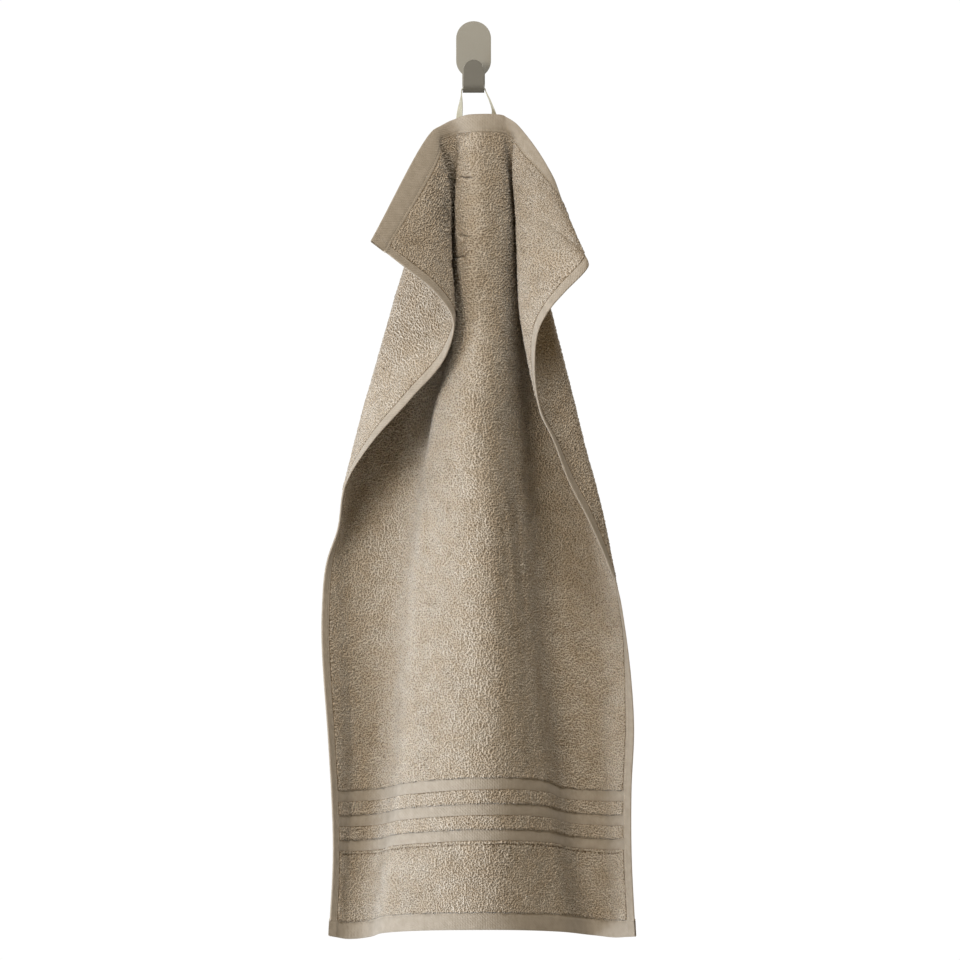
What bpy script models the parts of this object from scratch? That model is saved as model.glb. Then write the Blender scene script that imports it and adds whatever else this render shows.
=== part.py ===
"""A terry hand towel that hangs by its tape loop from a bent metal wall hook.

Millimetres below, metres in the scene. X runs to the right, -Y towards the viewer and +Z up. The origin is
the middle of the hook plate's back face, on the wall, so everything stands in front of the wall at
negative Y.
"""

from collections import namedtuple
from math import asin, cos, pi, radians, sin, sqrt

import bmesh
import bpy
import numpy as np

MM = 0.001

# The cloth as it was cut
TOWEL_WIDTH = 500.0
TOWEL_LENGTH = 1000.0
END_HEM = 22.0
SIDE_HEM = 11.0
PILE_THICKNESS = 4.4
HEM_THICKNESS = 2.4
BAND_THICKNESS = 1.8
STEP = 2.5  # the run over which the pile falls to a flat band

# Flat woven bands: heights of their lower and upper borders above the bottom end
BANDS = ((110.5, 124.0), (141.0, 154.5), (171.5, 185.5))

# The cloth is modelled in cells this wide at most, and this long down to each distance from the top end,
# as (distance, length), because the sharpest folds are at the top
CELL_ACROSS = 11.0
CELL_DOWN = ((170.0, 12.0), (560.0, 21.0), (TOWEL_LENGTH, 29.0))
CURVE_STEPS = 24  # points from one fold to the next, from which the cells are read
BEND_PULL = 6.0  # of a cubic curve's bend at its ends, for a square turn
WALL_GAP = 3.2  # from the wall to the middle of the cloth, where it rests on it
WALL_EASE = 2.0  # how gently the cloth comes to rest there

# Wall hook, one blank of flat bar
PLATE_WIDTH = 43.0
PLATE_HEIGHT = 70.0
PLATE_THICKNESS = 3.0
NECK_WIDTH = 28.0
TONGUE_WIDTH = 24.6
HOOK_LOW = -54.0  # underside of the bend
HOOK_GAP = 18.0  # between plate and tongue
TONGUE_TOP = -15.0
TONGUE_LEAN = 14.0  # degrees that the tongue leans out from the wall
EDGE_ROUND = 0.6
SHARP = 50.0  # degrees: edges that turn more than this are rounded
BAR_CELLS = 6  # across the bar
BEND_CELLS = 12
ARC_CELLS = 8  # round a quarter of the plate, and of the tongue's tip
OUTER_BEND = HOOK_GAP / 2 + PLATE_THICKNESS
MIDDLE_BEND = (HOOK_GAP + PLATE_THICKNESS) / 2
FULL_BEND = pi - radians(TONGUE_LEAN)

# Tape of the hanging loop, from its left end behind the hem over the hook to its right end. A row says, at
# a distance along the tape, where its middle lies, and how many degrees its width has turned from pointing
# out of the wall to lying along it: (distance, x, y, z, turn)
TAPE_WIDTH = 8.0
TAPE_THICKNESS = 1.2
TAPE_STEP = 1.6
TAPE_ROUTE = (
    (0, -18, -15.8, -101, 70),
    (10, -17.9, -16.6, -91, 68),
    (20, -17.2, -16.4, -81, 60),
    (37, -15.5, -14, -64, 22),
    (46, -14.9, -12.5, -55, 0),
    (50, -14.6, -12, -51.5, 0),
    (52.1, -14.1, -12, -49.4, 0),
    (54.5, -12, -12, -48.9, 0),
    (60.5, -6, -12, -48.8, 0),
    (66.5, 0, -12, -48.8, 0),
    (72.5, 6, -12, -48.8, 0),
    (78.5, 12, -12, -48.9, 0),
    (80.9, 14.1, -12, -49.4, 0),
    (83, 14.7, -12, -51.5, 0),
    (86.5, 16.1, -12.3, -55, -2),
    (95.6, 19.8, -13.6, -63.2, -8),
    (108, 23.9, -15, -75, -20),
    (116, 25.2, -16.6, -82.5, -48),
    (125, 26.1, -19.2, -91, -100),
    (135.4, 26.3, -21.2, -101, -118),
)

# Each fold is a line that runs down the cloth. Its radius is how tightly the cloth bends over it, and each
# row says where it lies at a distance down the cloth from the top end: (down, x, y, z). The two edges are
# lines too. A table that stops early is a fold that has run out, because the side edge has met it.
Fold = namedtuple("Fold", "name radius rows")

FOLDS = (
    Fold("left edge", 30, (
        (0, -124, -131, -242),
        (50, -84, -125, -273),
        (105, -46, -113, -304),
        (160, -24, -101, -342),
        (200, -33, -99, -379),
        (270, -76, -100, -432),
        (350, -126, -93, -488),
        (415, -156, -73, -536),
        (480, -166, -46, -591),
        (530, -180, -36, -631),
        (600, -186, -38, -692),
        (760, -178, -48, -856),
        (815, -175, -44, -911),
        (890, -173, -37, -984),
        (1000, -178, -26, -1090),
    )),
    Fold("left ridge", 7, (
        (0, -50, -26, -101),
        (50, -32, -40, -167),
        (100, -29, -61, -245),
        (150, -24, -92, -326),
    )),
    Fold("left turn", 9, (
        (0, -40, -21, -95),
        (50, -46, -24, -141),
        (100, -59, -30, -195),
        (175, -84, -38, -274),
        (280, -116, -44, -386),
        (350, -137, -44, -459),
        (420, -154, -40, -528),
        (480, -164, -36, -589),
    )),
    Fold("left back", 12, (
        (0, -31, -19, -90),
        (50, -35, -12, -134),
        (100, -45, -9, -183),
        (175, -66, -8, -262),
        (280, -100, -8, -368),
        (420, -145, -8, -518),
        (500, -152, -9, -590),
        (600, -152, -9, -694),
        (760, -152, -9, -858),
        (815, -153, -9, -912),
        (890, -155, -9, -987),
        (1000, -158, -10, -1095),
    )),
    Fold("left valley", 25, (
        (0, -21, -19, -86),
        (50, -22, -13, -130),
        (100, -23, -11, -181),
        (175, -29, -9, -256),
        (280, -40, -8, -360),
        (400, -60, -8, -481),
        (500, -81, -8, -584),
        (600, -96, -8, -688),
        (760, -110, -8, -854),
        (815, -115, -8, -910),
        (890, -123, -9, -986),
        (1000, -134, -9, -1094),
    )),
    Fold("column left", 30, (
        (0, -9, -22, -82),
        (100, -19, -44, -182),
        (200, -19, -56, -282),
        (300, -20, -72, -382),
        (350, -38, -68, -431),
        (400, -48, -58, -481),
        (600, -64, -56, -681),
        (815, -80, -62, -900),
        (890, -91, -62, -976),
        (1000, -108, -60, -1083),
    )),
    Fold("crown", 30, (
        (0, 6, -24, -81),
        (100, 0, -60, -183),
        (200, 4, -76, -282),
        (300, 12, -87, -381),
        (400, 6, -92, -481),
        (500, 17, -97, -580),
        (600, 19, -99, -680),
        (700, 22, -102, -780),
        (815, 17, -106, -891),
        (890, 15, -108, -967),
        (1000, 12, -110, -1075),
    )),
    Fold("column right", 24, (
        (0, 26, -22, -81),
        (100, 43, -32, -182),
        (200, 49, -36, -282),
        (300, 52, -42, -382),
        (400, 52, -48, -481),
        (600, 60, -58, -680),
        (815, 84, -58, -897),
        (890, 92, -58, -973),
        (1000, 106, -58, -1082),
    )),
    Fold("right valley", 16, (
        (0, 39, -19, -83),
        (100, 44, -10, -181),
        (200, 53, -9, -281),
        (300, 64, -9, -382),
        (400, 76, -9, -482),
        (500, 83, -9, -584),
        (650, 93, -9, -738),
        (815, 112, -9, -909),
        (890, 127, -9, -983),
        (1000, 150, -10, -1091),
    )),
    Fold("right back", 12, (
        (0, 41, -19, -85),
        (100, 57, -9, -185),
        (200, 77, -8, -290),
        (300, 101, -8, -397),
        (400, 121, -8, -496),
        (500, 141, -9, -595),
        (600, 156, -10, -695),
        (815, 161, -10, -912),
        (890, 166, -11, -985),
        (1000, 174, -12, -1093),
    )),
    Fold("right turn", 9, (
        (0, 45, -20, -87),
        (110, 69, -28, -201),
        (226, 93, -34, -322),
        (322, 118, -36, -420),
        (393, 136, -36, -493),
        (465, 156, -36, -567),
        (533, 170, -35, -638),
        (597, 183, -30, -704),
    )),
    Fold("right ridge", 8, (
        (0, 55, -24, -95),
        (50, 49, -34, -146),
        (100, 53, -48, -207),
        (150, 55, -62, -267),
        (200, 58, -72, -325),
        (250, 68, -80, -385),
        (300, 81, -84, -446),
    )),
    Fold("right curl", 12, (
        (0, 102, -62, -176),
        (50, 120, -88, -226),
        (80, 136, -106, -262),
    )),
    Fold("right edge", 30, (
        (0, 98, -45, -254),
        (45, 119, -80, -265),
        (90, 139, -112, -272),
        (138, 109, -118, -305),
        (163, 94, -119, -322),
        (193, 80, -117, -346),
        (242, 74, -108, -391),
        (303, 82, -92, -448),
        (341, 97, -82, -481),
        (396, 115, -72, -530),
        (453, 140, -62, -579),
        (509, 162, -50, -628),
        (549, 176, -42, -665),
        (601, 185, -38, -713),
        (729, 197, -37, -833),
        (815, 194, -38, -911),
        (890, 194, -38, -983),
        (1000, 199, -34, -1090),
    )),
)

# Past its table, the line of a fold that has run out lies between the edge and the next fold inwards. Over
# this length it comes to lie this share of the way in.
RUN_OUT_LENGTH = 150.0
RUN_OUT_SHARE = 0.4
RunOut = namedtuple("RunOut", "fold inwards edge")
RUN_OUTS = (
    RunOut("left turn", "left back", "left edge"),
    RunOut("left ridge", "left turn", "left edge"),
    RunOut("right turn", "right back", "right edge"),
    RunOut("right ridge", "right turn", "right edge"),
    RunOut("right curl", "right ridge", "right edge"),
)


def material(name, colour, roughness, metallic=0.0):
    """A plain material with the piece's colour."""
    made = bpy.data.materials.new(name)
    made.use_nodes = True
    shader = made.node_tree.nodes["Principled BSDF"]
    shader.inputs["Base Color"].default_value = (*colour, 1.0)
    shader.inputs["Roughness"].default_value = roughness
    shader.inputs["Metallic"].default_value = metallic
    return made


def add_object(name, mesh, finish):
    made = bpy.data.objects.new(name, mesh)
    bpy.context.scene.collection.objects.link(made)
    mesh.materials.append(finish)
    return made


def smooth_path(table, at):
    """The table's columns at each distance, on one smooth curve through its rows that stops at its ends."""
    table = np.array(table, float)
    place, values = table[:, 0], table[:, 1:]
    slope = np.gradient(values, place, axis=0)
    at = np.clip(at, place[0], place[-1])
    row = np.clip(np.searchsorted(place, at, side="right") - 1, 0, len(place) - 2)
    gap = (place[row + 1] - place[row])[:, None]
    t = ((at - place[row])[:, None]) / gap
    return (
        (2 * t**3 - 3 * t**2 + 1) * values[row]
        + (t**3 - 2 * t**2 + t) * gap * slope[row]
        + (3 * t**2 - 2 * t**3) * values[row + 1]
        + (t**3 - t**2) * gap * slope[row + 1]
    )


def fold_lines(down):
    """Every fold's place at each distance down, as one row of folds for each distance."""
    rows = {fold.name: fold.rows for fold in FOLDS}
    lines = {name: smooth_path(table, down) for name, table in rows.items()}
    for run_out in RUN_OUTS:
        end = rows[run_out.fold][-1]
        here = np.array(end[:1])
        edge, inwards = (smooth_path(rows[name], here)[0] for name in (run_out.edge, run_out.inwards))
        reach = np.linalg.norm(end[1:] - edge) / np.linalg.norm(inwards - edge)
        left_over = end[1:] - (edge + (inwards - edge) * reach)
        past = down > end[0]
        grown = np.clip((down[past] - end[0]) / RUN_OUT_LENGTH, 0, 1)[:, None]
        grown = grown**2 * (3 - 2 * grown)
        share = reach + (RUN_OUT_SHARE - reach) * grown
        outer, inner = lines[run_out.edge][past], lines[run_out.inwards][past]
        lines[run_out.fold][past] = outer + (inner - outer) * share + left_over * (1 - grown)
    return np.stack([lines[fold.name] for fold in FOLDS], axis=1)


def off_wall(y):
    """Cloth that would bulge into the wall rests along it instead."""
    return (y - WALL_GAP - np.hypot(y + WALL_GAP, WALL_EASE)) / 2


def section(corners, across):
    """One thread of the weft: a curve over its folds, each with its own radius, read by length of cloth."""
    legs = np.diff(corners, axis=0)
    length = np.linalg.norm(legs, axis=1)
    ways = legs / length[:, None]
    turn = np.concatenate([ways[:1], ways[:-1] + ways[1:], ways[-1:]])
    turn /= np.linalg.norm(turn, axis=1)[:, None]
    radius = np.array([fold.radius for fold in FOLDS], float)
    t = np.linspace(0, 1, CURVE_STEPS, endpoint=False)[:, None]
    runs = []
    for i, leg in enumerate(length):
        # The curve sets off from a fold this strongly to bend there at about the fold's radius
        start, end = (turn[j] * min(sqrt(BEND_PULL * leg * radius[j]), leg) for j in (i, i + 1))
        runs.append(
            (2 * t**3 - 3 * t**2 + 1) * corners[i]
            + (t**3 - 2 * t**2 + t) * start
            + (3 * t**2 - 2 * t**3) * corners[i + 1]
            + (t**3 - t**2) * end
        )
    curve = np.concatenate([*runs, corners[-1:]])
    curve[:, 1] = off_wall(curve[:, 1])
    along = np.concatenate([[0], np.cumsum(np.linalg.norm(np.diff(curve, axis=0), axis=1))])
    wanted = (across / TOWEL_WIDTH + 0.5) * along[-1]
    return np.stack([np.interp(wanted, along, curve[:, axis]) for axis in range(3)], axis=1)


def drape(across, down):
    """Where the cloth's stations hang, as rows of points in millimetres."""
    return np.stack([section(corners, across) for corners in fold_lines(down)])


def even_steps(start, end, most):
    count = max(1, int(np.ceil((end - start) / most)))
    return list(np.linspace(start, end, count + 1))


def stations_across():
    inside = TOWEL_WIDTH / 2 - SIDE_HEM
    middle = even_steps(STEP - inside, inside - STEP, CELL_ACROSS)
    return np.array([-TOWEL_WIDTH / 2, -inside, *middle, inside, TOWEL_WIDTH / 2])


def stations_down():
    """Distances down the cloth: the hems, each border of a band with its step, and even cells between."""
    borders = {0.0, END_HEM, END_HEM + STEP}
    for low, high in BANDS:
        top, bottom = TOWEL_LENGTH - high, TOWEL_LENGTH - low
        borders |= {top - STEP, top, bottom, bottom + STEP}
    borders |= {TOWEL_LENGTH - END_HEM - STEP, TOWEL_LENGTH - END_HEM, TOWEL_LENGTH}
    borders = sorted(borders | {reach for reach, _ in CELL_DOWN})
    stations = [borders[0]]
    for start, end in zip(borders, borders[1:]):
        longest = next(cell for reach, cell in CELL_DOWN if end <= reach)
        stations += even_steps(start, end, longest)[1:]
    return np.array(stations)


def thickness(across, down):
    """The cloth's thickness at one station: pile, flat band or hem."""
    if abs(across) >= TOWEL_WIDTH / 2 - SIDE_HEM or down <= END_HEM or down >= TOWEL_LENGTH - END_HEM:
        return HEM_THICKNESS
    up = TOWEL_LENGTH - down
    return BAND_THICKNESS if any(low <= up <= high for low, high in BANDS) else PILE_THICKNESS


def towel(finish):
    """The cloth's middle surface, laid in its folds and thickened to pile, bands and hems."""
    across, down = stations_across(), stations_down()
    places = drape(across, down)
    sheet = bmesh.new()
    rows = [[sheet.verts.new(place * MM) for place in row] for row in places]
    middle = len(across) // 2
    for upper, lower in zip(rows, rows[1:]):
        for i in range(len(across) - 1):
            # Each cell's diagonal runs the way the folds do, outwards and down
            if i < middle:
                sheet.faces.new((upper[i], lower[i], upper[i + 1]))
                sheet.faces.new((lower[i], lower[i + 1], upper[i + 1]))
            else:
                sheet.faces.new((upper[i], lower[i + 1], upper[i + 1]))
                sheet.faces.new((upper[i], lower[i], lower[i + 1]))
    mesh = bpy.data.meshes.new("towel")
    sheet.to_mesh(mesh)
    sheet.free()
    mesh.shade_smooth()
    made = add_object("towel", mesh, finish)
    share = made.vertex_groups.new(name="thickness")
    for i, (row, column) in enumerate((r, c) for r in down for c in across):
        share.add([i], thickness(column, row) / PILE_THICKNESS, "REPLACE")
    solid = made.modifiers.new("Solidify", "SOLIDIFY")
    solid.thickness = PILE_THICKNESS * MM
    solid.offset = 0
    solid.vertex_group = share.name


def bent(distance):
    """Where the middle of the hook's bar lies, as (y, z), at a distance down from the middle of the plate."""
    level = -PLATE_THICKNESS / 2
    straight = -HOOK_LOW - OUTER_BEND
    turned = min(max((distance - straight) / MIDDLE_BEND, 0), FULL_BEND)
    y, z = level - MIDDLE_BEND * (1 - cos(turned)), -min(distance, straight) - MIDDLE_BEND * sin(turned)
    past = max(distance - straight - FULL_BEND * MIDDLE_BEND, 0)
    return y - sin(turned) * past, z - cos(turned) * past


def blank_outline():
    """The flat blank from top to tip, as (distance down, half width): plate, neck and round tongue."""
    plate, neck, tongue = PLATE_WIDTH / 2, NECK_WIDTH / 2, TONGUE_WIDTH / 2
    shoulder = PLATE_HEIGHT / 2 - plate
    straight = -HOOK_LOW - OUTER_BEND
    bend_end = straight + FULL_BEND * MIDDLE_BEND
    tip = bend_end + (TONGUE_TOP - bent(bend_end)[1]) / cos(radians(TONGUE_LEAN))
    quarter = np.linspace(0, pi / 2, ARC_CELLS + 1)
    to_neck = np.linspace(pi / 2, pi - asin(neck / plate), ARC_CELLS)
    outline = [(-PLATE_HEIGHT / 2, 0)]
    outline += [(-shoulder - plate * cos(a), plate * sin(a)) for a in quarter[1:]]
    outline += [(shoulder - plate * cos(a), plate * sin(a)) for a in to_neck]
    outline += [
        (straight + bend * MIDDLE_BEND, neck + (tongue - neck) * bend / FULL_BEND)
        for bend in np.linspace(0, FULL_BEND, BEND_CELLS + 1)
    ]
    outline += [(tip - tongue + tongue * sin(a), tongue * cos(a)) for a in quarter[:-1]]
    return [*outline, (tip, 0)]


def hook(finish):
    """A blank of flat bar, bent forward and up under the plate."""
    sheet = bmesh.new()
    rows = []
    for distance, half in blank_outline():
        y, z = bent(distance)
        sides = np.linspace(-half, half, BAR_CELLS + 1) if half else [0] * (BAR_CELLS + 1)
        rows.append([sheet.verts.new((x * MM, y * MM, z * MM)) for x in sides])
    for upper, lower in zip(rows, rows[1:]):
        for i in range(BAR_CELLS):
            sheet.faces.new((upper[i], lower[i], lower[i + 1], upper[i + 1]))
    bmesh.ops.remove_doubles(sheet, verts=sheet.verts, dist=EDGE_ROUND * MM / 10)
    mesh = bpy.data.meshes.new("hook")
    sheet.to_mesh(mesh)
    sheet.free()
    mesh.shade_smooth()
    made = add_object("hook", mesh, finish)
    solid = made.modifiers.new("Solidify", "SOLIDIFY")
    solid.thickness = PLATE_THICKNESS * MM
    solid.offset = 0
    solid.use_even_offset = True
    edges = made.modifiers.new("Bevel", "BEVEL")
    edges.width = EDGE_ROUND * MM
    edges.segments = 2
    edges.angle_limit = radians(SHARP)


def tape_corners():
    """The tape's four corners at even steps along its route, as it turns from the hook to the hem."""
    places = smooth_path(TAPE_ROUTE, np.arange(0, TAPE_ROUTE[-1][0], TAPE_STEP))
    middles, turns = places[:, :3], np.radians(places[:, 3])
    along = np.gradient(middles, axis=0)
    along /= np.linalg.norm(along, axis=1)[:, None]
    rings = []
    for middle, way, turn in zip(middles, along, turns):
        wide = np.array([sin(turn) * way[2], -cos(turn), -sin(turn) * way[0]])
        wide -= way * (wide @ way)
        wide *= TAPE_WIDTH / 2 / np.linalg.norm(wide)
        thick = np.cross(way, wide)
        thick *= TAPE_THICKNESS / 2 / np.linalg.norm(thick)
        corners = (wide + thick, thick - wide, -wide - thick, wide - thick)
        rings.append([middle + corner for corner in corners])
    return rings


def hanging_loop(finish):
    """Tape laid across the bend of the hook, its legs turned to lie flat behind the hem."""
    strip = bmesh.new()
    rings = [[strip.verts.new(corner * MM) for corner in ring] for ring in tape_corners()]
    for ring, after in zip(rings, rings[1:]):
        for i in range(4):
            strip.faces.new((ring[i], ring[(i + 1) % 4], after[(i + 1) % 4], after[i]))
    strip.faces.new(reversed(rings[0]))
    strip.faces.new(rings[-1])
    bmesh.ops.recalc_face_normals(strip, faces=strip.faces)
    mesh = bpy.data.meshes.new("hanging_loop")
    strip.to_mesh(mesh)
    strip.free()
    add_object("hanging_loop", mesh, finish)


def main():
    for old in list(bpy.data.objects):
        bpy.data.objects.remove(old)
    towel(material("terry", (0.42, 0.34, 0.24), 0.95))
    hanging_loop(material("cotton_tape", (0.55, 0.50, 0.42), 0.85))
    hook(material("coated_steel", (0.38, 0.36, 0.31), 0.45, 0.1))


main()
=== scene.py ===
# %% [markdown]
# # A terry hand towel on a wall hook
# The real thing is one cotton cloth, 500 x 1000 mm. It has loops of pile on both faces, a flat woven hem at
# each end, a narrow folded hem down each side and three flat woven bands near its lower end. A loop of
# cotton tape is sewn behind the middle of the top hem, and it hangs on a bent steel hook.
#
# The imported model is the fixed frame: it says where everything is. This script dresses it, one step at a
# time, and each step is a cell that can be run and looked at by itself.

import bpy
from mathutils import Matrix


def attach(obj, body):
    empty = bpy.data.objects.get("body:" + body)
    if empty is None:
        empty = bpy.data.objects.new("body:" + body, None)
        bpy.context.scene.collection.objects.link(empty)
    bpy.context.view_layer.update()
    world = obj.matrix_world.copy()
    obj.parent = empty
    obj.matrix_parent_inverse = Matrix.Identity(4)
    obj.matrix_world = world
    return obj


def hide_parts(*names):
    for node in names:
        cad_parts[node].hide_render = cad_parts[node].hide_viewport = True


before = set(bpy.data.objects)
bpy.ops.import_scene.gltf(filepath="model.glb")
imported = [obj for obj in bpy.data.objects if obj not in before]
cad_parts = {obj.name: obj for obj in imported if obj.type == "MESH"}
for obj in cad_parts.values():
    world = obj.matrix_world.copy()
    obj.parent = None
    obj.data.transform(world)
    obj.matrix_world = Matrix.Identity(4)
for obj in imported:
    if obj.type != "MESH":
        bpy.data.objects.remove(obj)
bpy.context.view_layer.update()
print("nodes in the frame:", sorted(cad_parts))

# %% Modules and units
from collections import namedtuple
from math import asin, cos, pi, radians, sin, sqrt

import bmesh
import bpy
import numpy as np
from mathutils import Matrix, Vector

MM = 0.001
scene = bpy.context.scene
chance = np.random.default_rng(11)  # one seeded source, so that every run gives the same cloth

# %% [markdown]
# ## Camera
# The photograph was taken with a long lens, square on and level with the middle of the towel: the hook's
# plate shows no underside, and verticals stay vertical. A camera 6 m away gives that flat look. The lens
# follows from how many millimetres of cloth one pixel covers.

# %% Camera
IMAGE_PIXELS = 960
MM_PER_PIXEL = 1.2225  # at the cloth
CLOTH_DEPTH = 0.05  # how far the cloth's middle stands in front of the wall
CAMERA_PLACE = Vector((0.0079, -6.0, -0.5304))
SENSOR = 36.0
CLIP_END = 50.0

camera = bpy.data.objects.new("camera", bpy.data.cameras.new("camera"))
scene.collection.objects.link(camera)
scene.camera = camera
camera.location = CAMERA_PLACE
camera.rotation_euler = (radians(90), 0, 0)
camera.data.sensor_width = SENSOR
camera.data.lens = SENSOR * (-CAMERA_PLACE.y - CLOTH_DEPTH) / (IMAGE_PIXELS * MM_PER_PIXEL * MM)
camera.data.clip_end = CLIP_END
print(f"lens {camera.data.lens:.1f} mm")

# %% [markdown]
# ## Light
# The left slope of each fold is bright and the right one is about a fifth as bright, so most of the light
# comes low from the left, as from a tall window. A lamp to the front left softens it, and one high on the
# right lights what faces up. Two lamps behind don't reach the front: they are for looking at the back. The
# white surroundings give little light, and the backdrop has to look pure white, so the world is brighter
# for the camera's own rays.

# %% A function that adds a node
def add_node(tree, kind, inputs=None, **fields):
    """Adds one node with its own fields set, and each input set to a value or linked to another output."""
    node = tree.nodes.new(kind)
    for field, value in fields.items():
        setattr(node, field, value)
    for socket, value in (inputs or {}).items():
        if isinstance(value, bpy.types.NodeSocket):
            tree.links.new(value, node.inputs[socket])
        else:
            node.inputs[socket].default_value = value
    return node


# %% World
ROOM_LIGHT = (0.165, 0.112, 0.05, 1.0)  # what the room sends back to the cloth: little, and warm
BACKDROP = (1.02, 1.02, 1.02, 1.0)  # pure white, with a little to spare
FACTOR, MIX_A, MIX_B, MIX_RESULT = 0, 6, 7, 2  # the Mix node's sockets for colours

world = bpy.data.worlds.new("white_room")
scene.world = world
world.use_nodes = True
room = world.node_tree
seen = add_node(room, "ShaderNodeLightPath")
shown = add_node(room, "ShaderNodeMix", {
    FACTOR: seen.outputs["Is Camera Ray"], MIX_A: ROOM_LIGHT, MIX_B: BACKDROP}, data_type="RGBA")
room.links.new(shown.outputs[MIX_RESULT], room.nodes["Background"].inputs["Color"])
scene.view_settings.view_transform = "Standard"

# %% Lamps
TOWEL_MIDDLE = Vector((0, -0.05, -0.55))
LAMP_DISTANCE = 3.0
LAMP_SIZE = 1.0


def add_lamp(name, azimuth, elevation, power, tint):
    """A square area light that faces the middle of the towel from those degrees right of the front and up."""
    lamp = bpy.data.objects.new(name, bpy.data.lights.new(name, "AREA"))
    scene.collection.objects.link(lamp)
    level = cos(radians(elevation))
    way = Vector((sin(radians(azimuth)) * level, -cos(radians(azimuth)) * level, sin(radians(elevation))))
    lamp.location = TOWEL_MIDDLE + way * LAMP_DISTANCE
    lamp.rotation_euler = way.to_track_quat("Z", "Y").to_euler()
    lamp.data.size = LAMP_SIZE
    lamp.data.energy = power
    lamp.data.color = tint


COOL, NEUTRAL, WARM = (0.93, 1.0, 1.09), (1.03, 1.0, 0.94), (1.14, 1.0, 0.82)  # daylight to lamplight
add_lamp("key_left", -60, -18, 57, COOL)
add_lamp("side_left", -85, 0, 34, COOL)
add_lamp("front_left", -30, 15, 38, WARM)
add_lamp("high_right", 20, 60, 40, NEUTRAL)
add_lamp("behind_left", -150, 20, 30, NEUTRAL)
add_lamp("behind_right", 150, 20, 34, NEUTRAL)
print(len(bpy.data.lights), "lamps")

# %% [markdown]
# ## Floor
# Views from higher up need something pale below the towel. The camera above doesn't see it, so one flat
# face does.

# %% From bmesh to mesh
def as_mesh(shape, name):
    """The bmesh as a new mesh. The bmesh itself is freed."""
    mesh = bpy.data.meshes.new(name)
    shape.to_mesh(mesh)
    shape.free()
    return mesh


# %% Floor
FLOOR_HEIGHT = -2.2
FLOOR_SIZE = 6.0
FLOOR_COLOUR = (0.8, 0.8, 0.78, 1.0)
FLOOR_ROUGHNESS = 0.6

floor_shape = bmesh.new()
bmesh.ops.create_grid(floor_shape, x_segments=1, y_segments=1, size=FLOOR_SIZE / 2)
bmesh.ops.translate(floor_shape, verts=floor_shape.verts, vec=(0, 0, FLOOR_HEIGHT))
floor_mesh = as_mesh(floor_shape, "floor")
floor = bpy.data.objects.new("floor", floor_mesh)
scene.collection.objects.link(floor)
floor_paint = bpy.data.materials.new("pale_floor")
floor_paint.use_nodes = True
floor_shader = floor_paint.node_tree.nodes["Principled BSDF"]
floor_shader.inputs["Base Color"].default_value = FLOOR_COLOUR
floor_shader.inputs["Roughness"].default_value = FLOOR_ROUGHNESS
floor_mesh.materials.append(floor_paint)

# %% [markdown]
# ## How the cloth hangs
# Hung by its middle, the cloth falls in a central column with a deep valley on each side. The two top
# corners drop forward as flaps, and the side edges run down in long curves.
#
# The solid towel of the frame was made from fold lines: each is a line that runs down the cloth, and a
# weft thread is a curve over all of them, read by its own length so that the cloth isn't stretched. The
# same lines are used here, because then the fine cloth lies exactly on the solid.

# %% Sizes of the cloth
TOWEL_WIDTH = 500.0
TOWEL_LENGTH = 1000.0
END_HEM = 22.0
SIDE_HEM = 11.0
HEM_THICKNESS = 2.4
BAND_THICKNESS = 1.8
CURVE_STEPS = 24  # points from one fold to the next
BEND_PULL = 6.0  # of a cubic curve's bend at its ends, for a square turn
WALL_GAP = 3.2  # from the wall to the middle of the cloth, where it rests on it
WALL_EASE = 2.0  # how gently the cloth comes to rest there

# Flat woven bands: heights of their lower and upper borders above the bottom end
BANDS = ((110.5, 124.0), (141.0, 154.5), (171.5, 185.5))

# %% The fold lines, as rows of (distance down the cloth, x, y, z) in millimetres
# Each fold is a line that runs down the cloth. Its radius is how tightly the cloth bends over it, and each
# row says where it lies at a distance down the cloth from the top end: (down, x, y, z). The two edges are
# lines too. A table that stops early is a fold that has run out, because the side edge has met it.
Fold = namedtuple("Fold", "name radius rows")

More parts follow.
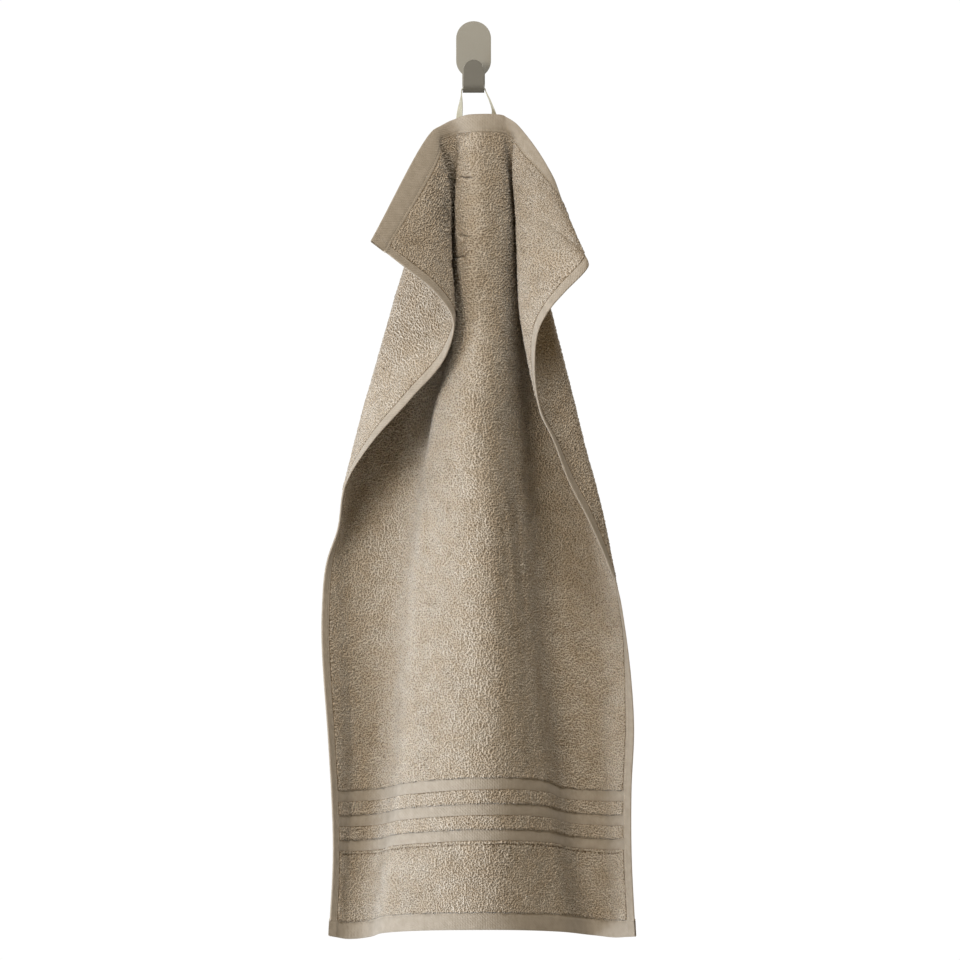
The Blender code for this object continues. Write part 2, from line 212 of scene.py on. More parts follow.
FOLDS = (
    Fold("left edge", 30, (
        (0, -124, -131, -242),
        (50, -84, -125, -273),
        (105, -46, -113, -304),
        (160, -24, -101, -342),
        (200, -33, -99, -379),
        (270, -76, -100, -432),
        (350, -126, -93, -488),
        (415, -156, -73, -536),
        (480, -166, -46, -591),
        (530, -180, -36, -631),
        (600, -186, -38, -692),
        (760, -178, -48, -856),
        (815, -175, -44, -911),
        (890, -173, -37, -984),
        (1000, -178, -26, -1090),
    )),
    Fold("left ridge", 7, (
        (0, -50, -26, -101),
        (50, -32, -40, -167),
        (100, -29, -61, -245),
        (150, -24, -92, -326),
    )),
    Fold("left turn", 9, (
        (0, -40, -21, -95),
        (50, -46, -24, -141),
        (100, -59, -30, -195),
        (175, -84, -38, -274),
        (280, -116, -44, -386),
        (350, -137, -44, -459),
        (420, -154, -40, -528),
        (480, -164, -36, -589),
    )),
    Fold("left back", 12, (
        (0, -31, -19, -90),
        (50, -35, -12, -134),
        (100, -45, -9, -183),
        (175, -66, -8, -262),
        (280, -100, -8, -368),
        (420, -145, -8, -518),
        (500, -152, -9, -590),
        (600, -152, -9, -694),
        (760, -152, -9, -858),
        (815, -153, -9, -912),
        (890, -155, -9, -987),
        (1000, -158, -10, -1095),
    )),
    Fold("left valley", 25, (
        (0, -21, -19, -86),
        (50, -22, -13, -130),
        (100, -23, -11, -181),
        (175, -29, -9, -256),
        (280, -40, -8, -360),
        (400, -60, -8, -481),
        (500, -81, -8, -584),
        (600, -96, -8, -688),
        (760, -110, -8, -854),
        (815, -115, -8, -910),
        (890, -123, -9, -986),
        (1000, -134, -9, -1094),
    )),
    Fold("column left", 30, (
        (0, -9, -22, -82),
        (100, -19, -44, -182),
        (200, -19, -56, -282),
        (300, -20, -72, -382),
        (350, -38, -68, -431),
        (400, -48, -58, -481),
        (600, -64, -56, -681),
        (815, -80, -62, -900),
        (890, -91, -62, -976),
        (1000, -108, -60, -1083),
    )),
    Fold("crown", 30, (
        (0, 6, -24, -81),
        (100, 0, -60, -183),
        (200, 4, -76, -282),
        (300, 12, -87, -381),
        (400, 6, -92, -481),
        (500, 17, -97, -580),
        (600, 19, -99, -680),
        (700, 22, -102, -780),
        (815, 17, -106, -891),
        (890, 15, -108, -967),
        (1000, 12, -110, -1075),
    )),
    Fold("column right", 24, (
        (0, 26, -22, -81),
        (100, 43, -32, -182),
        (200, 49, -36, -282),
        (300, 52, -42, -382),
        (400, 52, -48, -481),
        (600, 60, -58, -680),
        (815, 84, -58, -897),
        (890, 92, -58, -973),
        (1000, 106, -58, -1082),
    )),
    Fold("right valley", 16, (
        (0, 39, -19, -83),
        (100, 44, -10, -181),
        (200, 53, -9, -281),
        (300, 64, -9, -382),
        (400, 76, -9, -482),
        (500, 83, -9, -584),
        (650, 93, -9, -738),
        (815, 112, -9, -909),
        (890, 127, -9, -983),
        (1000, 150, -10, -1091),
    )),
    Fold("right back", 12, (
        (0, 41, -19, -85),
        (100, 57, -9, -185),
        (200, 77, -8, -290),
        (300, 101, -8, -397),
        (400, 121, -8, -496),
        (500, 141, -9, -595),
        (600, 156, -10, -695),
        (815, 161, -10, -912),
        (890, 166, -11, -985),
        (1000, 174, -12, -1093),
    )),
    Fold("right turn", 9, (
        (0, 45, -20, -87),
        (110, 69, -28, -201),
        (226, 93, -34, -322),
        (322, 118, -36, -420),
        (393, 136, -36, -493),
        (465, 156, -36, -567),
        (533, 170, -35, -638),
        (597, 183, -30, -704),
    )),
    Fold("right ridge", 8, (
        (0, 55, -24, -95),
        (50, 49, -34, -146),
        (100, 53, -48, -207),
        (150, 55, -62, -267),
        (200, 58, -72, -325),
        (250, 68, -80, -385),
        (300, 81, -84, -446),
    )),
    Fold("right curl", 12, (
        (0, 102, -62, -176),
        (50, 120, -88, -226),
        (80, 136, -106, -262),
    )),
    Fold("right edge", 30, (
        (0, 98, -45, -254),
        (45, 119, -80, -265),
        (90, 139, -112, -272),
        (138, 109, -118, -305),
        (163, 94, -119, -322),
        (193, 80, -117, -346),
        (242, 74, -108, -391),
        (303, 82, -92, -448),
        (341, 97, -82, -481),
        (396, 115, -72, -530),
        (453, 140, -62, -579),
        (509, 162, -50, -628),
        (549, 176, -42, -665),
        (601, 185, -38, -713),
        (729, 197, -37, -833),
        (815, 194, -38, -911),
        (890, 194, -38, -983),
        (1000, 199, -34, -1090),
    )),
)

# Past its table, the line of a fold that has run out lies between the edge and the next fold inwards. Over
# this length it comes to lie this share of the way in.
RUN_OUT_LENGTH = 150.0
RUN_OUT_SHARE = 0.4
RunOut = namedtuple("RunOut", "fold inwards edge")
RUN_OUTS = (
    RunOut("left turn", "left back", "left edge"),
    RunOut("left ridge", "left turn", "left edge"),
    RunOut("right turn", "right back", "right edge"),
    RunOut("right ridge", "right turn", "right edge"),
    RunOut("right curl", "right ridge", "right edge"),
)

# %% Read the cloth from its folds
def smooth_path(table, at):
    """The table's columns at each distance, on one smooth curve through its rows that stops at its ends."""
    table = np.array(table, float)
    place, values = table[:, 0], table[:, 1:]
    slope = np.gradient(values, place, axis=0)
    at = np.clip(at, place[0], place[-1])
    row = np.clip(np.searchsorted(place, at, side="right") - 1, 0, len(place) - 2)
    gap = (place[row + 1] - place[row])[:, None]
    t = ((at - place[row])[:, None]) / gap
    return (
        (2 * t**3 - 3 * t**2 + 1) * values[row]
        + (t**3 - 2 * t**2 + t) * gap * slope[row]
        + (3 * t**2 - 2 * t**3) * values[row + 1]
        + (t**3 - t**2) * gap * slope[row + 1]
    )


def fold_lines(down):
    """Every fold's place at each distance down, as one row of folds for each distance."""
    rows = {fold.name: fold.rows for fold in FOLDS}
    lines = {name: smooth_path(table, down) for name, table in rows.items()}
    for run_out in RUN_OUTS:
        end = rows[run_out.fold][-1]
        here = np.array(end[:1])
        edge, inwards = (smooth_path(rows[name], here)[0] for name in (run_out.edge, run_out.inwards))
        reach = np.linalg.norm(end[1:] - edge) / np.linalg.norm(inwards - edge)
        left_over = end[1:] - (edge + (inwards - edge) * reach)
        past = down > end[0]
        grown = np.clip((down[past] - end[0]) / RUN_OUT_LENGTH, 0, 1)[:, None]
        grown = grown**2 * (3 - 2 * grown)
        share = reach + (RUN_OUT_SHARE - reach) * grown
        outer, inner = lines[run_out.edge][past], lines[run_out.inwards][past]
        lines[run_out.fold][past] = outer + (inner - outer) * share + left_over * (1 - grown)
    return np.stack([lines[fold.name] for fold in FOLDS], axis=1)


def off_wall(y):
    """Cloth that would bulge into the wall rests along it instead."""
    return (y - WALL_GAP - np.hypot(y + WALL_GAP, WALL_EASE)) / 2


def section(corners, across):
    """One thread of the weft: a curve over its folds, each with its own radius, read by length of cloth."""
    legs = np.diff(corners, axis=0)
    length = np.linalg.norm(legs, axis=1)
    ways = legs / length[:, None]
    turn = np.concatenate([ways[:1], ways[:-1] + ways[1:], ways[-1:]])
    turn /= np.linalg.norm(turn, axis=1)[:, None]
    radius = np.array([fold.radius for fold in FOLDS], float)
    t = np.linspace(0, 1, CURVE_STEPS, endpoint=False)[:, None]
    runs = []
    for i, leg in enumerate(length):
        # The curve sets off from a fold this strongly to bend there at about the fold's radius
        start, end = (turn[j] * min(sqrt(BEND_PULL * leg * radius[j]), leg) for j in (i, i + 1))
        runs.append(
            (2 * t**3 - 3 * t**2 + 1) * corners[i]
            + (t**3 - 2 * t**2 + t) * start
            + (3 * t**2 - 2 * t**3) * corners[i + 1]
            + (t**3 - t**2) * end
        )
    curve = np.concatenate([*runs, corners[-1:]])
    curve[:, 1] = off_wall(curve[:, 1])
    along = np.concatenate([[0], np.cumsum(np.linalg.norm(np.diff(curve, axis=0), axis=1))])
    wanted = (across / TOWEL_WIDTH + 0.5) * along[-1]
    return np.stack([np.interp(wanted, along, curve[:, axis]) for axis in range(3)], axis=1)


def drape(across, down):
    """Where the cloth's stations hang, as rows of points in millimetres."""
    return np.stack([section(corners, across) for corners in fold_lines(down)])


# %% [markdown]
# ## Creases
# A washed towel isn't smooth between its folds. It keeps short sharp creases across the column, where it
# was bent in a cupboard, and long soft ridges and troughs. The two longest ridges round off the cloth where
# it nears its lower side edges. All are laid on the cloth, as rows of a table, and everything that is
# sewn or woven to the cloth follows them. The sharp ones also part the pile: the material darkens it there.
# That darkening is painted shade: it stands for the shadow down in each sharp crease.

# %% Creases
# The crease's middle on the cloth, its length and width, how many degrees its line is turned from the weft,
# and its depth: a negative one is a ridge
Crease = namedtuple("Crease", "across down length width turn depth")

CREASES = (
    Crease(-13, 25, 26, 3.5, 4, 1.8),
    Crease(-14, 78, 32, 4.0, 6, 2.8),
    Crease(-14, 150, 26, 4.0, 8, 2.4),
    Crease(-16, 176, 38, 4.0, -4, 2.8),
    Crease(4, 140, 260, 26.0, 88, -3.0),
    Crease(-214, 850, 640, 60.0, 90, -4.5),
    Crease(220, 850, 640, 50.0, 90, -4.0),
    Crease(24, 128, 30, 9.0, 20, 1.2),
    Crease(48, 540, 240, 14.0, 84, -2.2),
    Crease(72, 560, 260, 10.0, 86, 2.2),
    Crease(-78, 480, 180, 12.0, 82, 1.6),
    Crease(112, 700, 150, 16.0, 100, 1.8),
    Crease(-140, 720, 170, 14.0, 84, 1.6),
    Crease(-30, 905, 90, 10.0, 70, 1.2),
    Crease(150, 60, 90, 12.0, 60, -1.6),
    Crease(180, 110, 80, 12.0, 120, 1.6),
    Crease(-190, 120, 110, 14.0, 60, 1.4),
)


def crease_depth(crease, across, down):
    """How far the crease lowers the cloth at each place."""
    way = radians(crease.turn)
    right, below = across - crease.across, down - crease.down
    along = (right * cos(way) + below * sin(way)) / (crease.length / 2)
    aside = (below * cos(way) - right * sin(way)) / (crease.width / 2)
    return crease.depth * np.clip(1 - along**2, 0, 1) ** 2 * np.exp(-(aside**2))


# %% A fine net of the hanging cloth
NET_STEP = 1.0  # millimetres of cloth from one knot of the net to the next
INSIDE = 1.001  # knots before the net's end, so that every place has a knot after it
PILE_PARTS = 5.0  # creases narrower than this are sharp enough to part the pile, and get painted shade


def front_normals(net):
    """The way the cloth's front faces at each knot of the net."""
    along_down, along_across = np.gradient(net, axis=(0, 1))
    normals = np.cross(along_down, along_across)
    return normals / np.linalg.norm(normals, axis=2)[:, :, None]


net_across = np.arange(-TOWEL_WIDTH / 2, TOWEL_WIDTH / 2 + NET_STEP, NET_STEP)
net_down = np.arange(0, TOWEL_LENGTH + NET_STEP, NET_STEP)
net = drape(net_across, net_down)
depths = [crease_depth(crease, net_across[None, :], net_down[:, None]) for crease in CREASES]
lowered = sum(depths)
# Depth of the sharp creases only, for the painted shade that the material lays along them
crease_shade_depth = sum(depth for depth, crease in zip(depths, CREASES) if crease.width < PILE_PARTS)
net -= front_normals(net) * lowered[:, :, None]
net[:, :, 1] = np.minimum(net[:, :, 1], -WALL_GAP)
net_normals = front_normals(net)
print(f"net of {net.shape[0]} x {net.shape[1]} knots, deepest crease {lowered.max():.1f} mm")

# %% [markdown]
# ## From flat to hung
# A towel is woven and sewn flat, and only then hung up, so each of its pieces is modelled flat as well:
# across the towel is x, up the towel is y, and the height above the middle of the cloth is z. One function
# hangs any such piece. It keeps the flat place as the UV map, in metres, so that weave and grain follow
# the cloth. It keeps the height as an attribute, from which the shaders paint shade deep between the loops,
# and the depth of the sharp creases as another, from which they paint shade along those creases.

# %% Hang a flat piece on the net
def on_net(values, across, down):
    """The net's values between its knots."""
    right = np.clip((across - net_across[0]) / NET_STEP, 0, len(net_across) - INSIDE)
    below = np.clip(down / NET_STEP, 0, len(net_down) - INSIDE)
    column, row = right.astype(int), below.astype(int)
    right, below = (right - column)[:, None], (below - row)[:, None]
    upper = values[row, column] * (1 - right) + values[row, column + 1] * right
    lower = values[row + 1, column] * (1 - right) + values[row + 1, column + 1] * right
    return upper * (1 - below) + lower * below


def vertex_places(mesh):
    places = np.empty(len(mesh.vertices) * 3, np.float32)
    mesh.vertices.foreach_get("co", places)
    return places.reshape(-1, 3).astype(float)


def move_vertices(mesh, places):
    mesh.vertices.foreach_set("co", places.astype(np.float32).ravel())
    mesh.update()


def add_piece(name, mesh):
    """Shows a finished mesh as a piece of the object, smooth and on its body."""
    mesh.name = name
    mesh.shade_smooth()
    piece = bpy.data.objects.new(name, mesh)
    scene.collection.objects.link(piece)
    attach(piece, "root")
    return piece


def store_values(mesh, name, values):
    """Keeps a number for each vertex, which a shader reads by its name."""
    attribute = mesh.attributes.new(name, "FLOAT", "POINT")
    attribute.data.foreach_set("value", values.astype(np.float32).ravel())


def store_flat(mesh, flat):
    """Keeps the flat places as a UV map in metres, and the heights in millimetres as an attribute."""
    corners = np.empty(len(mesh.loops), np.int32)
    mesh.loops.foreach_get("vertex_index", corners)
    uv_map = mesh.uv_layers.new(name="flat_cloth")
    uv_map.data.foreach_set("uv", (flat[corners, :2] * MM).astype(np.float32).ravel())
    store_values(mesh, "height", np.abs(flat[:, 2]))


def hang(name, mesh):
    """Moves a flat mesh, in millimetres, onto the hanging cloth, in metres."""
    flat = vertex_places(mesh)
    store_flat(mesh, flat)
    across, down = flat[:, 0], -flat[:, 1]
    normals = on_net(net_normals, across, down)
    normals /= np.linalg.norm(normals, axis=1)[:, None]
    outside = np.stack([across - np.clip(across, net_across[0], net_across[-1]),
                        np.clip(down, 0, TOWEL_LENGTH) - down, np.zeros(len(flat))], axis=1)
    hung = on_net(net, across, down) + normals * flat[:, 2:] + outside
    move_vertices(mesh, hung * MM)
    store_values(mesh, "crease_shade_depth", on_net(crease_shade_depth[:, :, None], across, down))
    return add_piece(name, mesh)


# %% [markdown]
# ## Ground cloth
# Under the pile is a flat woven ground, which shows where there is no pile: in the bands and the hems. It
# could be one plane with a Solidify modifier. Here it is a grid that is extruded once to a closed slab, whose
# grid lines are then moved to where the cloth changes: the round fold at each edge, the groove that each
# row of stitches pulls in, and the steps to the bands.

# %% A closed flat slab
def flat_slab(across, down):
    """A closed slab with cells for those lines, and each vertex's column, row and face: 1 front, -1 back."""
    shape = bmesh.new()
    bmesh.ops.create_grid(shape, x_segments=len(across) - 1, y_segments=len(down) - 1, size=0.5)
    front = bmesh.ops.extrude_face_region(shape, geom=shape.faces[:], use_keep_orig=True)["geom"]
    raised = [part for part in front if isinstance(part, bmesh.types.BMVert)]
    bmesh.ops.translate(shape, verts=raised, vec=(0, 0, 1))
    bmesh.ops.recalc_face_normals(shape, faces=shape.faces)
    for wall in (part for part in shape.faces if abs(part.normal.z) < 0.5):
        for edge in wall.edges:
            edge.smooth = False  # or the shading of the walls would darken the faces' borders
    mesh = as_mesh(shape, "slab")
    unit = vertex_places(mesh)
    column = np.rint((unit[:, 0] + 0.5) * (len(across) - 1)).astype(int)
    row = np.rint((0.5 - unit[:, 1]) * (len(down) - 1)).astype(int)
    return mesh, column, row, np.where(unit[:, 2] > 0.5, 1, -1)


def set_places(mesh, x, y, z):
    move_vertices(mesh, np.stack([x, y, z], axis=1))


# %% Stations of the ground cloth
GROUND_CELL = 5.0  # between the places where its thickness changes
STITCH_IN = 2.0  # from a hem's inner border to its stitches
FOLD_ROUND = 1.3  # over this distance from its edge a folded hem rounds off
FIRM_LINE = 5.5  # from a side edge to the faint line where the hem's turned-in edge ends
STEP_RUN = 0.5  # over which the cloth steps from hem or band to the ground under the pile
ROUND_MARKS = (0, 0.2, 0.6, FOLD_ROUND)
LINE_SIDE = 0.4  # half of the faint line's width
GROOVE_SIDE = 0.5  # half of a stitched groove's width
SIDE_STITCHES, END_STITCHES = SIDE_HEM - STITCH_IN, END_HEM - STITCH_IN  # how far in from the towel's edges
SIDE_MARKS = (*ROUND_MARKS, FIRM_LINE - LINE_SIDE, FIRM_LINE, FIRM_LINE + LINE_SIDE,
              SIDE_STITCHES - GROOVE_SIDE, SIDE_STITCHES, SIDE_STITCHES + GROOVE_SIDE,
              SIDE_HEM, SIDE_HEM + STEP_RUN)
END_MARKS = (*ROUND_MARKS, END_STITCHES - GROOVE_SIDE, END_STITCHES, END_STITCHES + GROOVE_SIDE,
             END_HEM, END_HEM + STEP_RUN)


def even_lines(marks, cell):
    """The marks, and even lines between them no further apart than the cell."""
    lines = [marks[0]]
    for start, end in zip(marks, marks[1:]):
        lines += list(np.linspace(start, end, int(np.ceil((end - start) / cell)) + 1)[1:])
    return np.array(lines)


bands_down = [(TOWEL_LENGTH - high, TOWEL_LENGTH - low) for low, high in reversed(BANDS)]
side_marks = [mark - TOWEL_WIDTH / 2 for mark in SIDE_MARKS]
ground_across = even_lines([*side_marks, *(-mark for mark in reversed(side_marks))], GROUND_CELL)
end_marks = {*END_MARKS, *(TOWEL_LENGTH - mark for mark in END_MARKS)}
band_marks = {edge + run for top, bottom in bands_down for edge, run in
              ((top, -STEP_RUN), (top, 0), (bottom, 0), (bottom, STEP_RUN))}
ground_down = even_lines(sorted(end_marks | band_marks), GROUND_CELL)
print(f"ground cloth: {len(ground_across) - 1} x {len(ground_down) - 1} cells")

# %% Thickness of the ground cloth
GROUND_HALF = 0.7  # half of its thickness under the pile
CORNER_HALF = 1.6  # where a side hem is folded into an end hem
GROOVE = 0.4  # how deep the stitches pull in
FAINT_GROOVE = 0.15
CUT_OFF = 0.03  # the share of the rounding that is cut off, so that the edge keeps some thickness
NEAR = 0.01  # grid lines closer than this to a border lie on it


def folded_edge(distance):
    """What share of its thickness a folded hem has at a distance from its edge, which is round."""
    return np.sqrt(1 - (1 - np.clip(distance / FOLD_ROUND, CUT_OFF, 1)) ** 2)


def ground_half(across, down):
    """Half of the ground cloth's thickness at each place."""
    side = TOWEL_WIDTH / 2 - np.abs(across)
    end = np.minimum(down, TOWEL_LENGTH - down)
    half = np.full(len(across), GROUND_HALF)
    for top, bottom in bands_down:
        half[(down >= top - NEAR) & (down <= bottom + NEAR)] = BAND_THICKNESS / 2
    in_side, in_end = side <= SIDE_HEM + NEAR, end <= END_HEM + NEAR
    half[in_side | in_end] = HEM_THICKNESS / 2
    half[in_side & in_end] = CORNER_HALF
    half -= GROOVE * (np.isclose(side, SIDE_STITCHES) & ~in_end)
    half -= FAINT_GROOVE * (np.isclose(side, FIRM_LINE) & ~in_end)
    half -= GROOVE * np.isclose(end, END_STITCHES)
    half *= folded_edge(end)
    return np.where(in_end, half, half * folded_edge(side))


# %% [markdown]
# An end hem is a flat tube: the cloth is turned over twice and sewn down, so at the towel's sides its end
# is open. That dark slit shows at the corner that hangs towards the viewer. The faces of the slab's end are
# inset and pushed in, which is one operator.

# %% Ground cloth
SLIT_DEPTH = 3.0
SLIT_WALL = 0.6


def triangles(mesh):
    return sum(len(face.vertices) - 2 for face in mesh.polygons)


ground_mesh, column, row, face = flat_slab(ground_across, ground_down)
across, down = ground_across[column], ground_down[row]
set_places(ground_mesh, across, -down, face * ground_half(across, down))

shape = bmesh.new()
shape.from_mesh(ground_mesh)
tubes = ((FOLD_ROUND, END_STITCHES), (TOWEL_LENGTH - END_STITCHES, TOWEL_LENGTH - FOLD_ROUND))
for side in (-TOWEL_WIDTH / 2, TOWEL_WIDTH / 2):
    for start, stop in tubes:
        slit = [part for part in shape.faces
                if abs(part.normal.x) > 0.9 and abs(part.calc_center_median().x - side) < 0.1
                and start < -part.calc_center_median().y < stop]
        bmesh.ops.inset_region(shape, faces=slit, thickness=SLIT_WALL, depth=-SLIT_DEPTH,
                               use_even_offset=True)
shape.to_mesh(ground_mesh)
shape.free()
ground = hang("ground_cloth", ground_mesh)
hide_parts("towel")
print(f"ground cloth: {triangles(ground_mesh)} triangles")

# %% [markdown]
# ## Pile
# Terry pile is thousands of soft loops in rows along the weft, on both faces. Single loops would need
# millions of faces. What the eye gets at arm's length is a rough, worm-like grain with dark gaps, so each
# face of the pile is a fine grid whose vertices stand high where a loop is and low between the rows. The
# loops are drawn about twice as coarse as real ones, 3 mm apart, because finer ones wouldn't show. The small
# dark gaps from loop to loop are left to the material, which paints them as shade.
#
# Four kinds of seeded noise do it: patches where the rows stand out more or less, a height for each loop,
# patches where the pile lies flatter, and a shift of each loop, which bends the rows. At the borders the
# pile stops short: it drops to the ground, and above a band its last loops hang over.

# %% Seeded patches
def patches(shape, cells):
    """Soft noise with patches about that many cells wide, with a spread of 1 about 0."""
    waves = np.fft.rfft2(chance.standard_normal(shape))
    rate = np.hypot(np.fft.fftfreq(shape[0])[:, None], np.fft.rfftfreq(shape[1])[None, :])
    soft = np.fft.irfft2(waves * np.exp(-((rate * cells) ** 2) * 2), shape)
    return soft / soft.std()


# %% Pile of one panel
LOOP_CELL = 1.6  # across the towel
ROW_CELL = 1.45  # down it: two rows of cells, one high and one low, are one row of loops
PILE_TOP = 1.95  # mean height above the middle of the cloth
ROW_RISE = 0.14
ROW_SPREAD, ROW_PATCH = 0.6, 30  # how unevenly the rows stand out, and over how many cells
RIBS = Crease(-132, 46, 190, 44, -30, 7.0)  # where they stand out most, along the ridge of the left flap
LOOP_RISE, LOOP_LIMIT = 0.4, 1.8  # spread of the loops' heights, and how many times that the highest has
FLAT_RISE, FLAT_PATCH = 0.08, 14  # of the patches where the pile lies flatter, and over how many cells
LOOP_SHIFT = 0.38
BEND_SHARE, BEND_PATCH = 0.6, 8  # of that shift, what loops that lie together share, and over how many cells
TUCKED = 0.5  # height of the pile's border, inside the ground cloth
OVERHANG = (0.4, 1.0)  # how far, at least and at most, the last loops hang over a lower border
FOLLOWING = 0.6  # of a cell: how far the row above them comes along
SUNK_ROWS, SUNK = slice(3, 5), 0.7  # below the last band one row of loops stands alone, as these lie low

pile_across = np.linspace(SIDE_HEM - TOWEL_WIDTH / 2, TOWEL_WIDTH / 2 - SIDE_HEM,
                          int((TOWEL_WIDTH - 2 * SIDE_HEM) / LOOP_CELL) + 1)


def pile_faces(down, lone_row):
    """For both faces of a panel: its loops' heights and shifts, as arrays of rows and columns."""
    shape = (len(down), len(pile_across))
    found = []
    for _ in range(2):
        strength = 1 + ROW_SPREAD * patches(shape, ROW_PATCH)
        strength += crease_depth(RIBS, pile_across[None, :], down[:, None])
        rows = np.where(np.arange(shape[0]) % 2, -1, 1)[:, None] * strength
        loops = np.clip(chance.standard_normal(shape), -LOOP_LIMIT, LOOP_LIMIT)
        height = PILE_TOP + ROW_RISE * rows + LOOP_RISE * loops + FLAT_RISE * patches(shape, FLAT_PATCH)
        shift = LOOP_SHIFT * (chance.uniform(-1, 1, (2, *shape)) + BEND_SHARE * patches(shape, BEND_PATCH))
        right, below = shift
        if lone_row:
            height[SUNK_ROWS] -= SUNK
        below[-2] += ROW_CELL + chance.uniform(*OVERHANG, shape[1])
        below[-3] += FOLLOWING * ROW_CELL
        right[:, (0, -1)] = below[:, (0, -1)] = 0
        right[(0, -1), :] = below[(0, -1), :] = 0
        height[:, (0, -1)] = height[(0, -1), :] = TUCKED
        found.append((height, right, below))
    return found


# %% Cut the panels and hang them
PANEL_PIECES = 4  # the long panel is in pieces, because one would be too fine a mesh


def pile_slab(down, faces, start, stop):
    """A flat slab of a panel's rows from start to stop."""
    mesh, column, row, face = flat_slab(pile_across, down[start:stop])
    row = row + start
    height, right, below = (np.where(face > 0, front[row, column], back[row, column])
                            for front, back in zip(*faces))
    set_places(mesh, pile_across[column] + right, -(down[row] + below), face * height)
    return mesh


borders = [END_HEM, *(edge for band in bands_down for edge in band), TOWEL_LENGTH - END_HEM]
panels = list(zip(borders[::2], borders[1::2]))
pile_pieces = []
lower_panels = bmesh.new()
for top, bottom in panels:
    down = np.linspace(top, bottom, int((bottom - top) / ROW_CELL) + 1)
    faces = pile_faces(down, lone_row=top == panels[-1][0])
    if top == panels[0][0]:
        cuts = np.linspace(0, len(down) - 1, PANEL_PIECES + 1).astype(int)
        for number, (start, stop) in enumerate(zip(cuts, cuts[1:]), 1):
            pile_pieces.append(hang(f"pile_{number}", pile_slab(down, faces, start, stop + 1)))
    else:
        lower_panels.from_mesh(pile_slab(down, faces, 0, len(down)))
pile_pieces.append(hang("pile_between_bands", as_mesh(lower_panels, "lower_panels")))
for piece in pile_pieces:
    print(f"{piece.name}: {triangles(piece.data)} triangles")

# %% [markdown]
# ## Stitches
# Each hem is sewn down with one row of lockstitch, which shows on both faces as short dashes of thread
# lying in the groove that they pull in. One dash is a small stretched sphere of a few dozen faces, and an
# Array modifier repeats it into a row. The rows are laid along the flat hems and joined.

# %% Repeat a shape in a row
def repeated(mesh, count, step):
    """The mesh repeated along x by an Array modifier, as one new mesh."""
    guide = bpy.data.objects.new("guide", mesh)
    scene.collection.objects.link(guide)
    array = guide.modifiers.new("Array", "ARRAY")
    array.use_relative_offset = False
    array.use_constant_offset = True
    array.constant_offset_displace = (step, 0, 0)
    array.count = count
    row = bpy.data.meshes.new_from_object(guide.evaluated_get(bpy.context.evaluated_depsgraph_get()))
    bpy.data.objects.remove(guide)
    return row


# %% Rows of stitches
STITCH_LENGTH = 3.0
STITCH_PITCH = 3.5
THREAD = 0.5
STITCH_HEIGHT = HEM_THICKNESS / 2 - GROOVE + THREAD / 4

shape = bmesh.new()
bmesh.ops.create_uvsphere(shape, u_segments=6, v_segments=4, radius=0.5,
                          matrix=Matrix.Diagonal((STITCH_LENGTH, THREAD, THREAD, 1)))
one_stitch = as_mesh(shape, "one_stitch")
shape = bmesh.new()
side_row = TOWEL_WIDTH / 2 - SIDE_STITCHES
# Each row of stitches: where it starts, across and down, how far it runs and how many degrees it is turned
stitch_rows = (
    (-side_row, END_HEM, TOWEL_LENGTH - 2 * END_HEM, -90),
    (side_row, END_HEM, TOWEL_LENGTH - 2 * END_HEM, -90),
    (-TOWEL_WIDTH / 2, END_STITCHES, TOWEL_WIDTH, 0),
    (-TOWEL_WIDTH / 2, TOWEL_LENGTH - END_STITCHES, TOWEL_WIDTH, 0),
)
for start_across, start_down, reach, turn in stitch_rows:
    row = repeated(one_stitch, int(reach / STITCH_PITCH), STITCH_PITCH)
    row.transform(Matrix.Rotation(radians(turn), 4, "Z") @ Matrix.Translation((STITCH_PITCH / 2, 0, 0)))
    for height in (STITCH_HEIGHT, -STITCH_HEIGHT):
        laid = row.copy()
        laid.transform(Matrix.Translation((start_across, -start_down, height)))
        shape.from_mesh(laid)
stitch_mesh = as_mesh(shape, "stitches")
stitches = hang("hem_stitches", stitch_mesh)
print(f"stitches: {triangles(stitch_mesh)} triangles")

# %% [markdown]
# ## Hanging loop
# The loop is a length of woven cotton tape. It lies flat over the hook, and its legs turn on their way down
# so that they lie flat behind the hem. A curve with a bevel can't hold that turn well, so the tape is
# modelled flat like the cloth, with a thicker selvedge along each side, and laid along the loop's route.

# %% Route of the tape
# Tape of the hanging loop, from its left end behind the hem over the hook to its right end. A row says, at
# a distance along the tape, where its middle lies, and how many degrees its width has turned from pointing
# out of the wall to lying along it: (distance, x, y, z, turn)
TAPE_WIDTH = 8.0
TAPE_THICKNESS = 1.2
TAPE_ROUTE = (
    (0, -18, -15.8, -101, 70),
    (10, -17.9, -16.6, -91, 68),
    (20, -17.2, -16.4, -81, 60),
    (37, -15.5, -14, -64, 22),
    (46, -14.9, -12.5, -55, 0),
    (50, -14.6, -12, -51.5, 0),
    (52.1, -14.1, -12, -49.4, 0),
    (54.5, -12, -12, -48.9, 0),
    (60.5, -6, -12, -48.8, 0),
    (66.5, 0, -12, -48.8, 0),
    (72.5, 6, -12, -48.8, 0),
    (78.5, 12, -12, -48.9, 0),
    (80.9, 14.1, -12, -49.4, 0),
    (83, 14.7, -12, -51.5, 0),
    (86.5, 16.1, -12.3, -55, -2),
    (95.6, 19.8, -13.6, -63.2, -8),
    (108, 23.9, -15, -75, -20),
    (116, 25.2, -16.6, -82.5, -48),
    (125, 26.1, -19.2, -91, -100),
    (135.4, 26.3, -21.2, -101, -118),
)

# %% Hanging loop
TAPE_CELL = 0.8
SELVEDGE = 0.9  # width of the firm edge on each side of the tape
SELVEDGE_RISE = 0.15
TAPE_RIM = 0.1  # nearer to its side than this the tape is thinner again
WEFT_RIB = 0.06

